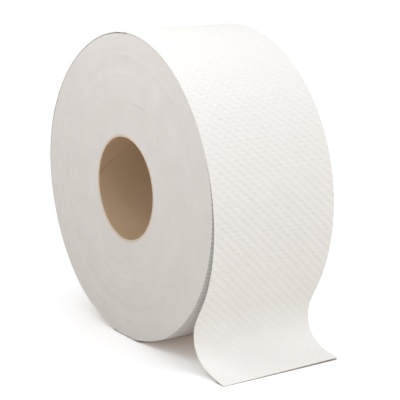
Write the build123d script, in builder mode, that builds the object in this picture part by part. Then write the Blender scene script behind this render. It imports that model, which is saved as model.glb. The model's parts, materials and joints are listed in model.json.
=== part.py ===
from build123d import *
import os
from math import acos, cos, degrees, radians, sin, sqrt

# A wide roll of two-ply embossed tissue on a cardboard core, standing on its tread with the
# loose end of the paper hanging to the floor. Y is the axis of the roll, Z is up, the loose
# end lies towards +X, and the origin is the centre of the bore. All sizes are in millimetres.

# The roll
web_width = 101.6  # the paper is as wide as the core is long
roll_diameter = 228.6
core_bore_diameter = 76.2
core_wall = 1.6
sheet_thickness = 0.4  # two embossed plies lying loose
flat_width = 22.0  # the soft flat spot under the roll

# The outermost turn has come loose over the front half of the roll
loose_slack = 3.6  # how far the centre of the loose turn has slipped down
slit_width = 0.3  # narrowest gap between the loose turn and the turns under it
leave_angle = -32.0  # where it stops following the roll, in degrees from +X

# The hanging end: distances in from where it leaves the roll, or out from its waist, and
# heights above the floor
waist_inset = 7.8
waist_height = 25.5
curl_run = 6.0
curl_height = 11.8
lie_run = 21.0
lie_height = 3.9
end_run = 36.0
end_lift = 0.2  # air under the cut end, so that the flat spot carries the roll
end_slope = 9.0  # how steeply the cut end comes down, in degrees
under_face_points = 9

# Bands of turns that strayed sideways while the paper was wound
band_count = 5
core_margin = 3.0  # even turns left beside the core
rim_margin = 5.0  # even turns left at the rim
band_unevenness = 0.3  # how far a band's edge strays, as a share of a band
band_wander = 0.25  # furthest sideways shift of a band
edge_rhythm = 2.4  # radians from one band to the next, for edges that never quite repeat
wander_rhythm = 2.1  # the same for the sideways shifts

# Worked out from the sizes above
roll_radius = roll_diameter / 2
core_radius = core_bore_diameter / 2 + core_wall
under_radius = roll_radius - sheet_thickness
floor_z = -sqrt(under_radius**2 - (flat_width / 2) ** 2)
top = Vector(0, roll_radius)

# One sheet's rise to a turn: the right half of the outline is a circle about the origin, the
# left half is one slightly larger and higher
rise_radius = roll_radius - sheet_thickness / 2
rise_center_z = sheet_thickness / 2

# Outer and inner face of the loose turn, about a centre that has slipped down
loose_radius = roll_radius + loose_slack
loose_inner_radius = loose_radius - sheet_thickness
slit_angle = 90 - degrees(acos(1 - slit_width / loose_slack))


def foot_angle(radius, center_z):
    """Half the angle that the flat spot cuts from a circle, in degrees."""
    return degrees(acos((center_z - floor_z) / radius))


def on_loose_circle(radius, angle):
    """A point of a circle about the loose turn's centre, in the section."""
    return Vector(radius * cos(radians(angle)), radius * sin(radians(angle)) - loose_slack)


def across_slit(angle):
    """Where a ray from the roll's axis meets the inner face of the loose turn."""
    rise = sin(radians(angle))
    run = cos(radians(angle))
    reach = sqrt(loose_inner_radius**2 - (loose_slack * run) ** 2) - loose_slack * rise
    return Vector(reach * run, reach * rise)


def band_edge(step):
    """Radius of a band's inner edge: evenly spaced, then pushed in or out."""
    first = core_radius + core_margin
    band = (roll_radius - rim_margin - first) / band_count
    stray = band_unevenness * sin(edge_rhythm * step) if 0 < step < band_count else 0
    return first + band * (step + stray)


# The core: one glued tube of card
with BuildPart() as cardboard_core:
    with BuildSketch(Plane.XZ):
        Circle(core_radius)
        Circle(core_bore_diameter / 2, mode=Mode.SUBTRACT)
    extrude(amount=web_width / 2, both=True)

# The paper: one unbroken web, from the first turn on the core to the cut end on the floor
with BuildPart() as paper_roll:
    with BuildSketch(Plane.XZ):
        with BuildLine():
            left_half = CenterArc(
                (0, rise_center_z),
                rise_radius,
                90,
                180 - foot_angle(rise_radius, rise_center_z),
            )
            right_start = foot_angle(under_radius, 0) - 90
            right_half = CenterArc((0, 0), under_radius, right_start, slit_angle - right_start)
            flat_spot = Line(left_half @ 1, right_half @ 0)
            slit_end = Line(right_half @ 1, across_slit(slit_angle))

            leave_outer = on_loose_circle(loose_radius, leave_angle)
            leave_inner = on_loose_circle(loose_inner_radius, leave_angle)
            loose_outer = RadiusArc(top, leave_outer, loose_radius)
            loose_inner = RadiusArc(slit_end @ 1, leave_inner, loose_inner_radius)

            waist_x = leave_outer.X - waist_inset
            upper_face = Spline(
                leave_outer,
                (waist_x, floor_z + waist_height),
                (waist_x + curl_run, floor_z + curl_height),
                (waist_x + lie_run, floor_z + lie_height),
                (waist_x + end_run, floor_z + end_lift + sheet_thickness),
                tangents=(
                    Vector(sin(radians(leave_angle)), -cos(radians(leave_angle))),
                    Vector(cos(radians(end_slope)), -sin(radians(end_slope))),
                ),
            )
            under_points = []
            for step in range(under_face_points):
                along = step / (under_face_points - 1)
                inward = (upper_face % along).rotate(Axis.Z, -90)
                under_points.append(upper_face @ along + inward * sheet_thickness)
            under_face = Spline(*under_points, tangents=(upper_face % 0, upper_face % 1))
            cut_end = Line(upper_face @ 1, under_face @ 1)
        make_face()
        Circle(band_edge(band_count), mode=Mode.SUBTRACT)
    extrude(amount=web_width / 2, both=True)

    with BuildSketch(Plane.XY):
        with Locations(((core_radius + band_edge(0)) / 2, 0)):
            Rectangle(band_edge(0) - core_radius, web_width)
        for step in range(band_count):
            inner = band_edge(step)
            outer = band_edge(step + 1)
            shift = band_wander * sin(wander_rhythm * (step + 0.5))
            with Locations(((inner + outer) / 2, shift)):
                Rectangle(outer - inner, web_width)
    revolve(axis=Axis.Y)

cardboard_core.part.label = "cardboard_core"
paper_roll.part.label = "paper_roll"

os.makedirs("parts", exist_ok=True)
export_step(cardboard_core.part, "parts/cardboard_core.step")
export_step(paper_roll.part, "parts/paper_roll.step")
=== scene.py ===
import json
from math import cos, pi, radians, sin

import bmesh
import bpy
import numpy as np
from mathutils import Matrix, Vector


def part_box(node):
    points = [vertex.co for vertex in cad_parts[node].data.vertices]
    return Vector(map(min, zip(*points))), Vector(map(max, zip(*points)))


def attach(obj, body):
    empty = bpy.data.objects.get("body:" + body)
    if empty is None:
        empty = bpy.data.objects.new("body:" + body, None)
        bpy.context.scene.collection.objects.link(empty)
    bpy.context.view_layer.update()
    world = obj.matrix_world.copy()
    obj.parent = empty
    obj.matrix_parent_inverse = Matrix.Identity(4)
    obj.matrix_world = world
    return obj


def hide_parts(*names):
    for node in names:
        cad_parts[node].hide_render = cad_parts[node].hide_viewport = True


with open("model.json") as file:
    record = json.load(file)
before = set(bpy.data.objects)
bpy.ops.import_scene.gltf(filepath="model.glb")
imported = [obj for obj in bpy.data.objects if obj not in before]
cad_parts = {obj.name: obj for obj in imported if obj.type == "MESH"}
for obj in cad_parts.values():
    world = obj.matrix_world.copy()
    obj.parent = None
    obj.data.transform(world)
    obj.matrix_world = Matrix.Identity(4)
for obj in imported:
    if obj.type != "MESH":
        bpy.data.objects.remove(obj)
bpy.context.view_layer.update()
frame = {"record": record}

# A wide roll of two-ply embossed tissue on a cardboard core. The outermost turn has come loose
# over the front of the roll and hangs down to the floor. Shapes are worked out in millimetres,
# with the roll's axis along Y, and turned into metres as each mesh is made.

MM = 0.001

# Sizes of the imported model
tube_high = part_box("cardboard_core")[1]
roll_low, roll_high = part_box("paper_roll")
mounts = {mount["name"]: mount for mount in frame["record"]["mounts"]}
bore_radius = mounts["core_bore"]["dims"]["r_mm"]
tube_radius = tube_high.z / MM
half_width = tube_high.y / MM
roll_radius = roll_high.z / MM
floor_z = roll_low.z / MM

# The web of tissue
sheet_thickness = 0.4
row_step = 3.37  # from one row of embossed dots to the next, along the web
column_step = 2 * half_width / 29  # half the distance between two dots of a row
dot_depth = 0.65
dot_sharpness = (2.5, 1.0)  # along the web and across it, so that each dot is wider than long
dot_mean = 0.8  # how deep the dots go on the whole, as a share of dot_depth
dot_change = 0.22  # and how much that changes from place to place
dot_painted_shade = 0.05  # how far a full dot's colour goes towards a painted shade colour
samples_along = 5  # mesh points from one row to the next
samples_across = 3  # mesh points from one half column to the next
crimp = 0.7  # how deep the rows are pressed at the front edge of the turn under the loose one
outer_crimp = 0.35  # and at the front edge of the last turn, which lies freer
crimp_run = 15.0  # how far in from the edge that goes
crimp_painted_shade = 4.5  # how much more painted shade their colour holds than the dots do
turn_thickness = 0.8  # the last turn on the roll, taken with the one under it
flat_height = 1.5  # how far above the floor the dots are pressed flat

# The wound turns. The soft roll is a little out of round at its front end: an angle in degrees,
# and how much larger the radius is there.
under_radius = roll_radius - sheet_thickness
out_of_round = [
    (30, -0.7),
    (75, 0.9),
    (123, -0.9),
    (168, 1.7),
    (215, 0.6),
    (262, 0.0),
    (330, -0.2),
]
rim_gap = 0.04  # air between the last turn and the turns under it
tuck_gap = 0.14  # further air near the top, where the last turn dives under the loose one
left_gap = 0.4  # further air where the last turn has come a little loose on the left
foot_lift = 0.6  # how far the front edges of the turns are off the floor
foot_run = 14.0  # how far in from the front end they come down to it
edge_give = 0.06  # how far the edges of the outermost turns give way
give_run = 3.5  # how far in from the rim they do
core_gap = 0.05  # air between the core and the inmost turn
end_segments = 320  # mesh points round each end of the roll
end_rings = 112  # and from the core to the rim

# Where each of these comes and goes round the roll: it grows from the first to the second angle,
# stays to the third and is gone at the fourth, in degrees
tuck_angles = (10, 60, 90, 104)
left_angles = (138, 158, 180, 205)
foot_angles = (236, 256, 284, 300)

# The loose turn, at its front and its back edge: the angle at which it stops touching the roll,
# the angle at which it would stand off furthest, how far that is, and where it leaves the roll
front_turn = (30, -45, 6.5, -33)
back_turn = (80, -100, 10.0, -35)

# Where the hanging end runs after it leaves the roll, at its front and its back edge: its waist,
# the end of its curl, the stretch that lies low and the cut end. Each is a distance out from the
# roll's axis and a height above the floor.
front_run = [(91.6, 26.4), (96.6, 12.6), (108.7, 5.1), (128.2, 0.6)]
front_end_slope = 8
back_run = [(92.4, 25.9), (96.6, 11.8), (109.0, 4.2), (127.4, 1.7)]
back_end_slope = 3

# How far in from the ends of the roll the edges of the loose web are, at the top and at its end
front_inset = (-0.4, 0.0)
back_inset = (0.8, 1.8)

# The dots of the loose web stand out more where it hangs clear of the roll, and are rubbed flat
# near its cut end. Places along the web are counted from the top of the roll.
relief_on_roll = 0.85
relief_gain = 0.35
gain_run = (165, 200)
relief_loss = 0.95
loss_run = (250, 288)
relief_inside = 0.6  # how much of the dots shows on the side that faces the roll
wave_run = (150, 230, 285, 322)  # where the hanging end is a little wavy

# Bands of turns that strayed sideways while the paper was wound, at the radii they have in the
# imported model
band_count = 5
core_margin = 3.0
rim_margin = 5.0
band_unevenness = 0.3
band_wander = 0.25
edge_rhythm = 2.4
wander_rhythm = 2.1
band_softness = 2.8  # how far to each side of its edge a band comes in
ring_height = 0.007  # how far the fine rings stand out, for a spacing of 1 mm

# A shallow crease pressed into the front end: an angle in degrees, and its radius there
crease = [(4, 65.4), (28, 66.9), (45, 68.0), (59, 68.0), (68, 66.3), (76, 64.0), (82, 62.6)]
crease_depth = 0.22
crease_width = 1.1
crease_starts = 25  # how many degrees it takes to come in
crease_stops = 8

# The core
seam_start = radians(173.7)  # where the seam meets the front end of the bore
seam_twist = radians(-1.42)  # how far it turns for each millimetre along the bore
seam_width = 0.45
seam_depth = 0.1
seam_fade = 24  # how far along the bore it closes up
tube_corner = 0.35  # how round the edges of the card are

# The floor: its true colour, the colour and the glow in its shadows that the camera sees, and
# a painted contact shadow, a narrow dark line where the paper meets it
true_floor = (0.82, 0.76, 0.72)
seen_floor = (1.0, 1.06, 1.12)
shadow_glow = (0.175, 0.13, 0.093)
painted_contact_shadow = (0.45, 0.42, 0.40)
contact_glow = 0.35  # how much of the glow is left in that painted shadow line
contact_reach = 2.6  # how near the paper is where that shadow is painted
floor_size = 6.0  # half its side, in metres

# The light, in metres: a studio that is brighter on one side, a high lamp and a softbox
studio_bright_side = Vector((0.25, 0.47, -0.22))
studio_dim = 0.335
studio_bright = 1.50
high_lamp_power = 0.34
high_lamp_angle = radians(28)  # how wide it looks, which softens its shadows
high_lamp_stand = Vector((0.35, 0.2, 1.0))
softbox_power = 0.74
softbox_size = 0.3
softbox_stand = Vector((0, -0.31, 0.36))
softbox_aim = Vector((0, -0.05, 0.07))

# The view, in metres: where the camera stands, seen from the middle of the roll, and the point
# it looks at
view_azimuth = radians(56.88)
view_elevation = radians(12.50)
view_distance = 1.0818
view_target = Vector((0.00984, 0.00872, -0.01431))
view_roll = radians(0.149)
lens = 129.75
sensor = 36


def smooth_line(points, first_way, last_way, steps=200):
    """A line of even curvature through some points, with a given direction at each end."""
    points = np.array(points, float)
    chords = np.linalg.norm(np.diff(points, axis=0), axis=1)
    rows = np.zeros((len(points), len(points)))
    sides = np.zeros((len(points), 2))
    rows[0, 0] = 1
    rows[-1, -1] = 1
    sides[0] = first_way
    sides[-1] = last_way
    for i in range(1, len(points) - 1):
        before = chords[i - 1]
        after = chords[i]
        rows[i, i - 1 : i + 2] = after, 2 * (before + after), before
        bends = after / before * (points[i] - points[i - 1])
        sides[i] = 3 * (bends + before / after * (points[i + 1] - points[i]))
    ways = np.linalg.solve(rows, sides)
    t = np.linspace(0, 1, steps, endpoint=False)[:, None]
    spans = []
    for i, chord in enumerate(chords):
        start = (2 * t**3 - 3 * t**2 + 1) * points[i] + (t**3 - 2 * t**2 + t) * chord * ways[i]
        end = (3 * t**2 - 2 * t**3) * points[i + 1] + (t**3 - t**2) * chord * ways[i + 1]
        spans.append(start + end)
    return np.concatenate(spans + [points[-1:]])


def lengths_along(line):
    """How far along a line each of its points is."""
    steps = np.linalg.norm(np.diff(line, axis=0), axis=1)
    return np.concatenate([[0], np.cumsum(steps)])


def soft_step(value, low, high):
    """From 0 at low to 1 at high, with soft ends."""
    share = np.clip((value - low) / (high - low), 0, 1)
    return share * share * (3 - 2 * share)


def come_and_go(value, places):
    """From 0 to 1 between the first two places, and back to 0 between the last two."""
    grows, full, wanes, gone = places
    return soft_step(value, grows, full) * (1 - soft_step(value, wanes, gone))


def bulge(angle):
    """How much larger than its true size the roll is at its front end, at an angle in degrees."""
    first_angle, first_size = out_of_round[0]
    angle = np.mod(angle - first_angle, 360) + first_angle
    size = np.full_like(angle, first_size)
    again = (first_angle + 360, first_size)
    for (low, before), (high, after) in zip(out_of_round, out_of_round[1:] + [again]):
        size += (after - before) * soft_step(angle, low, high)
    return size


def loose_edge(turn_shape, size_share, run, end_slope):
    """One edge of the loose web, from the top of the roll to the cut end and a little past it."""
    free_angle, full_angle, slack, leave_angle = turn_shape
    angle = np.linspace(90, leave_angle, 2000)
    away = np.clip((free_angle - angle) / (free_angle - full_angle), 0, 1)
    reach = roll_radius + size_share * bulge(angle) + slack * (1 - np.cos(pi * away)) / 2
    turn = np.stack([reach * np.cos(np.radians(angle)), reach * np.sin(np.radians(angle))], 1)
    way = (turn[-1] - turn[-2]) / np.linalg.norm(turn[-1] - turn[-2])
    end_way = np.array([cos(radians(end_slope)), -sin(radians(end_slope))])
    corners = [turn[-1]] + [(out, floor_z + height) for out, height in run]
    hanging = smooth_line(corners, way, end_way)
    line = np.concatenate([turn[:-1], hanging])
    cut = lengths_along(line)[-1]
    run_out = line[-1] + np.outer(np.arange(1, 9), [1, 0])
    return np.concatenate([line, run_out]), cut


def roll_line(first_angle, last_angle, radius, centre_z, steps=4000):
    """The outline of the roll between two angles, with its flat spot on the floor."""
    angle = np.radians(np.linspace(first_angle, last_angle, steps))
    height = np.maximum(centre_z + radius * np.sin(angle), floor_z)
    return np.stack([radius * np.cos(angle), height], 1)


def dots(along, across):
    """How deep the embossing goes at a place on the web, from 0 to 1."""
    here = pi / 2 * (along / row_step + 0.5)
    there = pi / 2 * across / column_step
    sharp, soft = dot_sharpness
    even_rows = np.sin(here) ** 2
    odd_rows = np.cos(here) ** 2
    even = even_rows**sharp * np.cos(there) ** (2 * soft)
    odd = odd_rows**sharp * np.sin(there) ** (2 * soft)
    slow = np.sin(0.61 * along + 2 * np.sin(0.23 * across))
    slower = np.sin(0.47 * across + 1.5 * np.sin(0.19 * along))
    return (even + odd) * (dot_mean + dot_change * slow * slower)


def outward(line):
    """Directions square to a line, in the section, to its left."""
    way = np.gradient(line, axis=0)
    way /= np.linalg.norm(way, axis=-1, keepdims=True)
    return np.stack([-way[..., 1], way[..., 0]], -1)


def grid_faces(numbers):
    """Four-sided faces between neighbouring points of a grid."""
    corners = [numbers[:-1, :-1], numbers[1:, :-1], numbers[1:, 1:], numbers[:-1, 1:]]
    return np.stack(corners, -1).reshape(-1, 4).tolist()


def make_piece(name, points, faces, materials, node, place=None):
    """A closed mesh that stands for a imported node, with the finish of a material slot."""
    mesh = bpy.data.meshes.new(name)
    mesh.from_pydata((points * MM).tolist(), [], faces)
    whole = bmesh.new()
    whole.from_mesh(mesh)
    bmesh.ops.recalc_face_normals(whole, faces=whole.faces)
    whole.to_mesh(mesh)
    whole.free()
    mesh.shade_smooth()
    mesh.set_sharp_from_angle(angle=radians(62))
    if place is not None:
        layer = mesh.attributes.new("place", "FLOAT_VECTOR", "POINT")
        layer.data.foreach_set("vector", place.astype(np.float32).ravel())
    for material in materials:
        mesh.materials.append(material)
    piece = bpy.data.objects.new(name, mesh)
    bpy.context.scene.collection.objects.link(piece)
    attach(piece, "root")
    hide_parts(node)
    return piece


def web_piece(name, outer, inner, along, across, painted_shade_share, material):
    """A closed stretch of web between the points of its outer and its inner face.

    Each point keeps its place on the web and its share of painted shade, by which the material
    darkens its colour.
    """
    rows, columns = outer.shape[:2]
    outside = np.arange(rows * columns).reshape(rows, columns)
    inside = outside.size + np.arange(rows * inner.shape[1]).reshape(rows, -1)
    faces = grid_faces(outside) + grid_faces(inside[:, ::-1])
    faces += grid_faces(np.stack([inside[:, 0], outside[:, 0]], 1))
    faces += grid_faces(np.stack([outside[:, -1], inside[:, -1]], 1))
    for row in (0, -1):
        if inner.shape[1] == columns:
            faces += grid_faces(np.stack([outside[row], inside[row]]))
        else:
            faces.append([*outside[row].tolist(), *inside[row, ::-1].tolist()])
    points = np.concatenate([outer.reshape(-1, 3), inner.reshape(-1, 3)])
    flat = np.stack([along, across, painted_shade_share], -1)
    if inner.shape[1] == columns:
        under = flat
    else:
        under = flat[:, [0, -1]]
    place = np.concatenate([flat.reshape(-1, 3), under.reshape(-1, 3)])
    return make_piece(name, points, faces, [material], "paper_roll", place)


def front_share(across):
    """From 0 at the back edge of the web to 1 at its front edge."""
    return (half_width - across) / (2 * half_width)


def foot(angle):
    """How far the front edges of the turns are off the floor, at an angle in degrees."""
    return foot_lift * come_and_go(np.mod(angle, 360), foot_angles)


def tuck(angle):
    """How much tighter the turns lie near the top, where the last turn dives under."""
    return tuck_gap * come_and_go(angle, tuck_angles)


def wound_web(name, line, start, way, edge_crimp, material):
    """A stretch of the last turn, lying on the roll: start and way say where on the web it is."""
    lengths = lengths_along(line)
    rows = round(lengths[-1] / row_step * samples_along) + 1
    columns = round(2 * half_width / column_step * samples_across) + 1
    even = np.linspace(0, lengths[-1], rows)
    section = np.stack([np.interp(even, lengths, line[:, i]) for i in (0, 1)], -1)
    out = outward(section)
    out *= np.sign(np.sum(out * section, axis=-1, keepdims=True))
    along = np.repeat((start + way * even)[:, None], columns, 1)
    across = np.repeat(np.linspace(-half_width, half_width, columns)[None], rows, 0)
    # The turns don't lie quite straight on each other
    sway = 0.07 * np.sin(along / 41) + 0.05 * np.sin(along / 17 + 2)
    by_edge = 1 - soft_step(across, -half_width, crimp_run - half_width)
    rows_pressed = (1 + np.cos(2 * pi * (along / row_step + 0.5))) / 2
    crimped = edge_crimp * by_edge * rows_pressed**2
    depth = np.maximum(dot_depth * dots(along, across), crimped)
    # Painted shade: the colour darkens in the dots, and far more in the crimped rows at the edge
    shade = depth / dot_depth + crimp_painted_shade * crimped / crimp
    # The dots are pressed flat where the roll stands on them
    depth *= soft_step(section[:, 1], floor_z, floor_z + flat_height)[:, None]
    angle = np.degrees(np.arctan2(section[:, 1], section[:, 0]))
    lift = bulge(angle)[:, None] * front_share(across)
    lift -= foot(angle)[:, None] * soft_step(-across, half_width - foot_run, half_width)
    outer = np.empty((rows, columns, 3))
    outer[..., 0] = section[:, None, 0] + (lift - depth) * out[:, None, 0]
    outer[..., 1] = across + sway
    outer[..., 2] = section[:, None, 1] + (lift - depth) * out[:, None, 1]
    inner = outer[:, [0, -1]].copy()
    under = lift[:, [0, -1]] - turn_thickness
    inner[..., 0] = section[:, None, 0] + under * out[:, None, 0]
    inner[..., 2] = section[:, None, 1] + under * out[:, None, 1]
    return web_piece(name, outer, inner, along, across, shade, material)


def last_turn(material):
    """The last full turn of the web on the roll, in two stretches that meet on the floor."""
    rise = sheet_thickness / 2
    left = roll_line(90, 270, roll_radius - rise, rise)
    wound_web("outer_turn", left, 0, -1, outer_crimp, material)
    right = roll_line(270, 448, under_radius, 0)
    angles = np.linspace(270, 448, len(right)) - 360
    reach = 1 - tuck(angles) / under_radius
    right *= reach[:, None]
    under = lengths_along(left)[-1]
    return wound_web("under_turn", right, -under, -1, crimp, material)


def loose_end(material):
    """The loose turn and the end of the web that hangs to the floor."""
    front, front_cut = loose_edge(front_turn, 1, front_run, front_end_slope)
    back, back_cut = loose_edge(back_turn, 0, back_run, back_end_slope)
    rows = round(front_cut / row_step * samples_along) + 1
    columns = round(2 * half_width / column_step * samples_across) + 1
    share = np.linspace(0, 1, columns)
    along = np.linspace(0, 1, rows)[:, None] * (front_cut + (back_cut - front_cut) * share)
    across = np.repeat(np.linspace(-half_width, half_width, columns)[None], rows, 0)
    middle = np.empty((rows, columns, 2))
    for i in (0, 1):
        at_front = np.interp(along, lengths_along(front), front[:, i])
        at_back = np.interp(along, lengths_along(back), back[:, i])
        middle[..., i] = at_front + (at_back - at_front) * share
    out = outward(middle)
    broad_wave = 0.35 * np.sin(across / 13 + along / 40)
    small_wave = 0.2 * np.sin(across / 7.5 - along / 23)
    wave = come_and_go(along, wave_run) * (broad_wave + small_wave)
    middle += wave[..., None] * out
    ends = np.linspace(0, 1, rows)
    low = -half_width + front_inset[0] + (front_inset[1] - front_inset[0]) * ends
    high = half_width - back_inset[0] - (back_inset[1] - back_inset[0]) * ends
    y = low[:, None] + (high - low)[:, None] * share
    relief = relief_on_roll + relief_gain * soft_step(along, *gain_run)
    relief -= relief_loss * soft_step(along, *loss_run)
    depth = dot_depth * relief * dots(along, across)
    outer = np.empty((rows, columns, 3))
    inner = np.empty((rows, columns, 3))
    outer[..., 1] = y
    inner[..., 1] = y
    for i, axis in ((0, 0), (1, 2)):
        outer[..., axis] = middle[..., i] - depth * out[..., i]
        inside = sheet_thickness + relief_inside * depth
        inner[..., axis] = middle[..., i] - inside * out[..., i]
    inner[..., 2] = np.maximum(inner[..., 2], floor_z)
    # The depth of the dots also sets how much painted shade their colour takes
    sheet = web_piece("loose_end", outer, inner, along, across, depth / dot_depth, material)
    return sheet


def band_edge(step):
    """Radius of the inner edge of a band of turns."""
    first = tube_radius + core_margin
    band = (roll_radius - rim_margin - first) / band_count
    stray = band_unevenness * sin(edge_rhythm * step) if 0 < step < band_count else 0
    return first + band * (step + stray)


def band_shift(step):
    """How far a band of turns strayed towards the back."""
    inside = 0 <= step < band_count
    return band_wander * sin(wander_rhythm * (step + 0.5)) if inside else 0


def sideways(radius, angle, side):
    """How far the turns lie towards the back at a place on one end of the roll."""
    # Broad bands, whose edges aren't quite round
    wobble = 1.6 * np.sin(angle - 0.4) + 0.9 * np.sin(2 * angle + 1.1 + side)
    shift = np.zeros_like(radius)
    for step in range(band_count + 1):
        rise = band_shift(step) - band_shift(step - 1)
        low = band_edge(step) - band_softness
        high = band_edge(step) + band_softness
        shift += rise * soft_step(radius + wobble, low, high)
    # Fine rings between them, at several spacings
    for order, length in enumerate((2.3, 3.7, 6.1, 9.7)):
        drift = order * 1.7 + side * 2.2
        swing = np.sin(angle * (order % 3 + 1) + drift)
        height = ring_height * length**0.6
        shift += height * np.sin(2 * pi * radius / length + drift + 1.4 * swing)
    if side == 0:
        shift += pressed_crease(radius, np.degrees(angle))
    return shift


def pressed_crease(radius, angle):
    """How deep the crease in the front end is, at an angle in degrees."""
    angles, radii = zip(*crease)
    middle = np.interp(angle, angles, radii)
    first, last = angles[0], angles[-1]
    ends = come_and_go(angle, (first, first + crease_starts, last - crease_stops, last))
    return crease_depth * ends * np.exp(-(((radius - middle) / crease_width) ** 2))


def wound_turns(material):
    """The turns between the core and the last one, as one ring with uneven ends."""
    angle = np.linspace(0, 2 * pi, end_segments, endpoint=False)[:, None]
    degrees_round = np.degrees(angle)
    # Where the turns point down, the floor cuts them short
    down = np.sin(angle)
    to_floor = np.where(down < -0.9, floor_z / np.minimum(down, -0.9), roll_radius)
    outline = np.minimum(under_radius, to_floor)
    came_loose = left_gap * come_and_go(degrees_round, left_angles)
    back_rim = outline - turn_thickness - rim_gap - tuck(degrees_round)
    front_rim = back_rim + bulge(degrees_round) - came_loose - foot(degrees_round)
    share = np.linspace(0, 1, end_rings)[None]
    first = tube_radius + core_gap
    front_radius = first + share * (front_rim - first)
    back_radius = first + share * (back_rim - first)
    # The outermost turns are softer and their edges give way a little
    front_give = edge_give * soft_step(front_radius, front_rim - give_run, front_rim)
    back_give = edge_give * soft_step(back_radius, back_rim - give_run, back_rim)
    front = -half_width + front_give + sideways(front_radius, angle, 0)
    back = half_width - back_give + sideways(back_radius, angle, 1)
    reach = np.concatenate([front_radius, back_radius[:, ::-1]], 1)
    y = np.concatenate([front, back[:, ::-1]], 1)
    points = np.stack([reach * np.cos(angle), y, reach * np.sin(angle)], -1)
    return ring_piece("wound_turns", points, [material], "paper_roll")


def ring_piece(name, points, materials, node, place=None):
    """A closed ring from the points of its section, repeated round the roll's axis."""
    numbers = np.arange(points.shape[0] * points.shape[1]).reshape(points.shape[:2])
    numbers = np.concatenate([numbers, numbers[:1]])
    numbers = np.concatenate([numbers, numbers[:, :1]], 1)
    flat_place = None if place is None else place.reshape(-1, 3)
    faces = grid_faces(numbers)
    return make_piece(name, points.reshape(-1, 3), faces, materials, node, flat_place)


def core(board, cut_edge):
    """The glued tube of card, with the seam of its inmost ply."""
    corner = tube_corner
    quarter = np.radians(np.linspace(0, 90, 5))
    # The section of the card: along the bore, round one end, along the outside, round the other
    wall_end = half_width - corner
    even_wall = np.linspace(-wall_end + 1, wall_end - 1, 58)
    wall_y = np.concatenate([[-wall_end + 0.3], even_wall, [wall_end - 0.3]])
    outer_y = np.linspace(-wall_end, wall_end, 32)[1:-1]
    ends = corner * (1 - np.cos(quarter))
    sides = corner * (1 - np.sin(quarter))
    lip = np.linspace(bore_radius + corner, tube_radius - corner, 6)[1:-1]
    end_reach = np.concatenate([bore_radius + sides[::-1], lip, tube_radius - sides])
    end_y = np.concatenate([ends[::-1], 0 * lip, ends]) - half_width
    inner_wall = np.full(len(wall_y), bore_radius)
    outer_wall = np.full(len(outer_y), tube_radius)
    reach = np.concatenate([inner_wall, end_reach, outer_wall, end_reach[::-1]])
    y = np.concatenate([wall_y[::-1], end_y, outer_y, -end_y[::-1]])
    # The points round the tube lie closer by the seam
    one_side = np.array([0.2, 0.4, 0.8, 1.2, 2.4]) / bore_radius
    near_seam = np.concatenate([-one_side[::-1], [0], one_side])
    even = np.linspace(near_seam[-1], 2 * pi + near_seam[0], 190)[1:-1]
    turn = np.concatenate([near_seam, even])[:, None]
    angle = turn + seam_start + seam_twist * (y + half_width)
    # How far each point is from the seam, measured square to it
    lead = np.arctan(-seam_twist * bore_radius)
    from_seam = bore_radius * (np.mod(turn + pi, 2 * pi) - pi) * np.cos(lead)
    on_wall = np.arange(len(y)) < len(wall_y)
    open_share = 1 - soft_step(y + half_width, 0, seam_fade)
    groove = seam_depth * open_share * np.exp(-((from_seam / seam_width) ** 2)) * on_wall
    radius = reach + groove
    points = np.stack([radius * np.cos(angle), y + 0 * angle, radius * np.sin(angle)], -1)
    place = np.stack([from_seam + 0 * angle, y + 0 * angle, 0 * angle], -1)
    tube = ring_piece("core_tube", points, [board, cut_edge], "cardboard_core", place)
    for face in tube.data.polygons:
        if abs(face.normal.y) > 0.5:
            face.material_index = 1
    return tube


def new_shader(name):
    """A material, its node tree and its main shader."""
    material = bpy.data.materials.new(name)
    material.use_nodes = True
    return material, material.node_tree, material.node_tree.nodes["Principled BSDF"]


def add(tree, kind, inputs, **settings):
    """A node with some settings, and inputs that are values or outputs of other nodes."""
    node = tree.nodes.new(kind)
    for key, value in settings.items():
        setattr(node, key, value)
    for key, value in inputs.items():
        if isinstance(value, bpy.types.NodeSocket):
            tree.links.new(value, node.inputs[key])
        else:
            node.inputs[key].default_value = value
    return node


def stretched(tree, coordinates, scale):
    """Coordinates scaled by a different amount along each axis."""
    node = add(tree, "ShaderNodeVectorMath", {0: coordinates, 1: scale}, operation="MULTIPLY")
    return node.outputs[0]


def place_on_piece(tree):
    """The place that a mesh keeps for each of its points, in millimetres."""
    return add(tree, "ShaderNodeAttribute", {}, attribute_name="place").outputs["Vector"]


def place_in_space(tree):
    """Coordinates in metres, which are the same for every piece."""
    return add(tree, "ShaderNodeTexCoord", {}).outputs["Object"]


def across_axis(tree):
    """The place seen along the roll's axis, and how far it is from the axis."""
    flat = stretched(tree, place_in_space(tree), (1, 0, 1))
    reach = add(tree, "ShaderNodeVectorMath", {0: flat}, operation="LENGTH").outputs["Value"]
    return flat, reach


def product(tree, first, second):
    """Two numbers multiplied."""
    return add(tree, "ShaderNodeMath", {0: first, 1: second}, operation="MULTIPLY").outputs[0]


def mapped(tree, value, low, high, at_low, at_high):
    """A number that goes from at_low to at_high while the value goes from low to high."""
    span = {"From Min": low, "From Max": high, "To Min": at_low, "To Max": at_high}
    return add(tree, "ShaderNodeMapRange", {"Value": value, **span}).outputs["Result"]


def noise(tree, coordinates, scale, detail=2.0, roughness=0.5):
    """Soft random change from place to place, from 0 to 1."""
    inputs = {"Vector": coordinates, "Scale": scale, "Detail": detail, "Roughness": roughness}
    return add(tree, "ShaderNodeTexNoise", inputs).outputs["Fac"]


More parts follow.
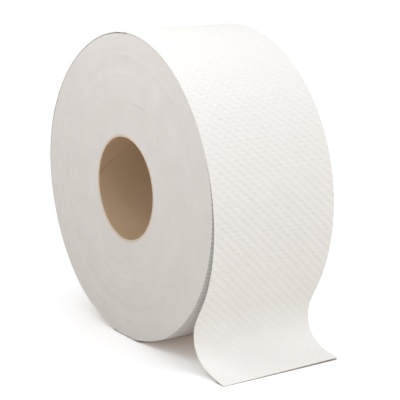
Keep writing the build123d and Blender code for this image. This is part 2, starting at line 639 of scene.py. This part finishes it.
def blend(tree, share, first, second):
    """A colour between two others."""
    node = add(tree, "ShaderNodeMix", {}, data_type="RGBA")
    tree.links.new(share, node.inputs["Factor"])
    for key, value in (("A", first), ("B", second)):
        socket = [item for item in node.inputs if item.name == key and item.type == "RGBA"][0]
        if isinstance(value, bpy.types.NodeSocket):
            tree.links.new(value, socket)
        else:
            socket.default_value = (*value, 1)
    return [item for item in node.outputs if item.type == "RGBA"][0]


def bump(tree, height, distance, strength=1.0, under=None):
    """Fine roughness, on its own or on top of another."""
    inputs = {"Height": height, "Distance": distance, "Strength": strength}
    if under is not None:
        inputs["Normal"] = under
    return add(tree, "ShaderNodeBump", inputs).outputs["Normal"]


def web_material():
    """Tissue seen flat: fine crepe across the web, loose fibres, soft clouds and painted shade in
    the dots.
    """
    material, tree, shader = new_shader("embossed_tissue")
    place = place_on_piece(tree)
    around = place_in_space(tree)
    crepe = noise(tree, stretched(tree, place, (2.6, 0.5, 1)), 1.0, 3.0, 0.6)
    fibres = noise(tree, around, 1400, 3.0, 0.7)
    clouds = noise(tree, around, 70, 3.0)
    colour = blend(tree, clouds, (0.85, 0.842, 0.818), (0.88, 0.872, 0.85))
    # Painted shade: each point's share darkens the colour towards a shade colour
    painted_shade_share = add(tree, "ShaderNodeSeparateXYZ", {0: place}).outputs["Z"]
    colour = blend(tree, product(tree, painted_shade_share, dot_painted_shade), colour, (0.42, 0.40, 0.37))
    tree.links.new(colour, shader.inputs["Base Color"])
    rough = bump(tree, crepe, 0.00006)
    tree.links.new(bump(tree, fibres, 0.00003, 1.0, rough), shader.inputs["Normal"])
    shader.inputs["Roughness"].default_value = 0.95
    shader.inputs["Specular IOR Level"].default_value = 0.2
    shader.inputs["Sheen Weight"].default_value = 0.08
    return material


def end_material():
    """The ends of the wound turns: cut edges of many sheets, in fine uneven rings."""
    material, tree, shader = new_shader("wound_tissue_edges")
    around = place_in_space(tree)
    flat, reach = across_axis(tree)
    unit = add(tree, "ShaderNodeVectorMath", {0: flat}, operation="NORMALIZE").outputs["Vector"]
    way = add(tree, "ShaderNodeSeparateXYZ", {0: unit}).outputs
    rings = add(tree, "ShaderNodeCombineXYZ", {0: reach, 1: way["X"], 2: way["Z"]}).outputs[0]
    fine = noise(tree, stretched(tree, rings, (2600, 4, 4)), 1.0, 3.0, 0.6)
    broad = noise(tree, stretched(tree, rings, (260, 1.6, 1.6)), 1.0, 3.0, 0.55)
    clouds = noise(tree, around, 55, 5.0, 0.65)
    colour = blend(tree, clouds, (0.70, 0.682, 0.66), (0.89, 0.873, 0.848))
    colour = blend(tree, broad, (0.76, 0.741, 0.716), colour)
    tree.links.new(colour, shader.inputs["Base Color"])
    rough = bump(tree, fine, 0.00008, 0.7)
    tree.links.new(bump(tree, broad, 0.0003, 0.6, rough), shader.inputs["Normal"])
    shader.inputs["Roughness"].default_value = 0.95
    shader.inputs["Specular IOR Level"].default_value = 0.2
    return material


def board_material():
    """Smooth brown card, darker along the seam."""
    material, tree, shader = new_shader("kraft_board")
    place = place_on_piece(tree)
    around = place_in_space(tree)
    fibres = noise(tree, stretched(tree, place, (1.6, 0.5, 1)), 1.0, 4.0, 0.65)
    clouds = noise(tree, around, 55, 3.0)
    colour = blend(tree, clouds, (0.505, 0.373, 0.24), (0.57, 0.43, 0.289))
    colour = blend(tree, fibres, (0.465, 0.338, 0.217), colour)
    split = add(tree, "ShaderNodeSeparateXYZ", {0: place}).outputs
    # A dark line by the seam, which fades along the bore
    apart = add(tree, "ShaderNodeMath", {0: split["X"]}, operation="ABSOLUTE").outputs[0]
    from_end = add(tree, "ShaderNodeMath", {0: split["Y"], 1: half_width}, operation="ADD")
    by_seam = mapped(tree, apart, 0.2, 0.9, 0.75, 0.0)
    near_end = mapped(tree, from_end.outputs[0], 4.0, float(seam_fade), 0.8, 0.0)
    colour = blend(tree, product(tree, by_seam, near_end), colour, (0.34, 0.23, 0.135))
    tree.links.new(colour, shader.inputs["Base Color"])
    tree.links.new(bump(tree, fibres, 0.00005, 0.6), shader.inputs["Normal"])
    shader.inputs["Roughness"].default_value = 0.6
    shader.inputs["Specular IOR Level"].default_value = 0.5
    return material


def cut_board_material():
    """The cut end of the card: paler, with the lines of its plies."""
    material, tree, shader = new_shader("cut_board")
    reach = across_axis(tree)[1]
    lines = {"W": reach, "Scale": 3200, "Detail": 1.0}
    plies = add(tree, "ShaderNodeTexNoise", lines, noise_dimensions="1D")
    fuzz = noise(tree, place_in_space(tree), 1800, 3.0, 0.7)
    colour = blend(tree, plies.outputs["Fac"], (0.66, 0.56, 0.43), (0.84, 0.75, 0.615))
    colour = blend(tree, fuzz, (0.70, 0.60, 0.475), colour)
    tree.links.new(colour, shader.inputs["Base Color"])
    tree.links.new(bump(tree, fuzz, 0.0001, 0.7), shader.inputs["Normal"])
    shader.inputs["Roughness"].default_value = 0.9
    return material


def clear_of_painted_contact_shadow(tree):
    """1 on open floor, falling to 0 in the painted contact shadow where the paper meets the
    floor.
    """
    near = {"Distance": contact_reach * MM}
    close = add(tree, "ShaderNodeAmbientOcclusion", near, samples=32).outputs["AO"]
    return mapped(tree, close, 0.4, 0.9, 0.0, 1.0)


def floor_material():
    """A pale floor, white to the camera wherever no deep shadow falls on it, with a painted
    contact shadow.
    """
    material = bpy.data.materials.new("studio_floor")
    material.use_nodes = True
    tree = material.node_tree
    tree.nodes.clear()
    light = add(tree, "ShaderNodeLightPath", {}).outputs["Is Camera Ray"]
    clear = clear_of_painted_contact_shadow(tree)
    # Painted contact shadow: near the paper the camera sees a darker colour and less glow
    seen_colour = blend(tree, clear, painted_contact_shadow, seen_floor)
    colour = blend(tree, light, true_floor, seen_colour)
    paint = add(tree, "ShaderNodeBsdfDiffuse", {"Color": colour})
    strength = product(tree, light, mapped(tree, clear, 0.0, 1.0, contact_glow, 1.0))
    glow = add(tree, "ShaderNodeEmission", {"Color": (*shadow_glow, 1), "Strength": strength})
    both = add(tree, "ShaderNodeAddShader", {0: paint.outputs[0], 1: glow.outputs[0]})
    add(tree, "ShaderNodeOutputMaterial", {"Surface": both.outputs[0]})
    return material


def add_floor():
    """The floor that the roll stands on, reaching far beyond the picture."""
    mesh = bpy.data.meshes.new("floor")
    square = ((-1, -1), (1, -1), (1, 1), (-1, 1))
    corners = [(x * floor_size, y * floor_size, floor_z * MM) for x, y in square]
    mesh.from_pydata(corners, [], [(0, 1, 2, 3)])
    mesh.materials.append(floor_material())
    floor = bpy.data.objects.new("floor", mesh)
    bpy.context.scene.collection.objects.link(floor)


def add_light():
    """Studio light from all round, a high lamp, and a softbox above the front end of the roll."""
    world = bpy.data.worlds.new("studio")
    bpy.context.scene.world = world
    world.use_nodes = True
    tree = world.node_tree
    tree.nodes.clear()
    way = add(tree, "ShaderNodeTexCoord", {}).outputs["Generated"]
    aim = {0: way, 1: studio_bright_side.normalized()}
    facing = add(tree, "ShaderNodeVectorMath", aim, operation="DOT_PRODUCT").outputs["Value"]
    strength = mapped(tree, facing, -1.0, 1.0, studio_dim, studio_bright)
    lit = add(tree, "ShaderNodeBackground", {"Color": (1, 1, 1, 1), "Strength": strength})
    white = add(tree, "ShaderNodeBackground", {"Color": (1, 1, 1, 1), "Strength": 1.0})
    seen = add(tree, "ShaderNodeLightPath", {}).outputs["Is Camera Ray"]
    choice = {0: seen, 1: lit.outputs[0], 2: white.outputs[0]}
    mix = add(tree, "ShaderNodeMixShader", choice)
    add(tree, "ShaderNodeOutputWorld", {"Surface": mix.outputs[0]})

    high = bpy.data.lights.new("high_lamp", "SUN")
    high.energy = high_lamp_power
    high.angle = high_lamp_angle
    place_lamp(high, high_lamp_stand, Vector((0, 0, 0)))

    softbox = bpy.data.lights.new("softbox", "AREA")
    softbox.energy = softbox_power
    softbox.size = softbox_size
    place_lamp(softbox, softbox_stand, softbox_aim)


def place_lamp(lamp, stand, aim):
    """Puts a lamp up where it lights the roll and stays out of the picture."""
    light = bpy.data.objects.new(lamp.name, lamp)
    light.location = stand
    light.rotation_euler = (stand - aim).to_track_quat("Z", "Y").to_euler()
    light.visible_camera = False
    bpy.context.scene.collection.objects.link(light)


def add_camera():
    """The camera, turned round the roll to the view that is wanted."""
    data = bpy.data.cameras.new("view")
    data.lens = lens
    data.sensor_width = sensor
    data.sensor_fit = "HORIZONTAL"
    data.clip_start = 0.01
    camera = bpy.data.objects.new("view", data)
    level = cos(view_elevation)
    back = (sin(view_azimuth) * level, -cos(view_azimuth) * level, sin(view_elevation))
    eye = Vector(back) * view_distance
    facing = (view_target - eye).to_track_quat("-Z", "Y").to_matrix().to_4x4()
    camera.matrix_world = Matrix.Translation(eye) @ facing @ Matrix.Rotation(view_roll, 4, "Z")
    bpy.context.scene.collection.objects.link(camera)
    bpy.context.scene.camera = camera


bpy.context.scene.view_settings.view_transform = "Standard"
add_camera()
add_floor()
add_light()

tissue = web_material()
last_turn(tissue)
loose_end(tissue)
wound_turns(end_material())
core(board_material(), cut_board_material())
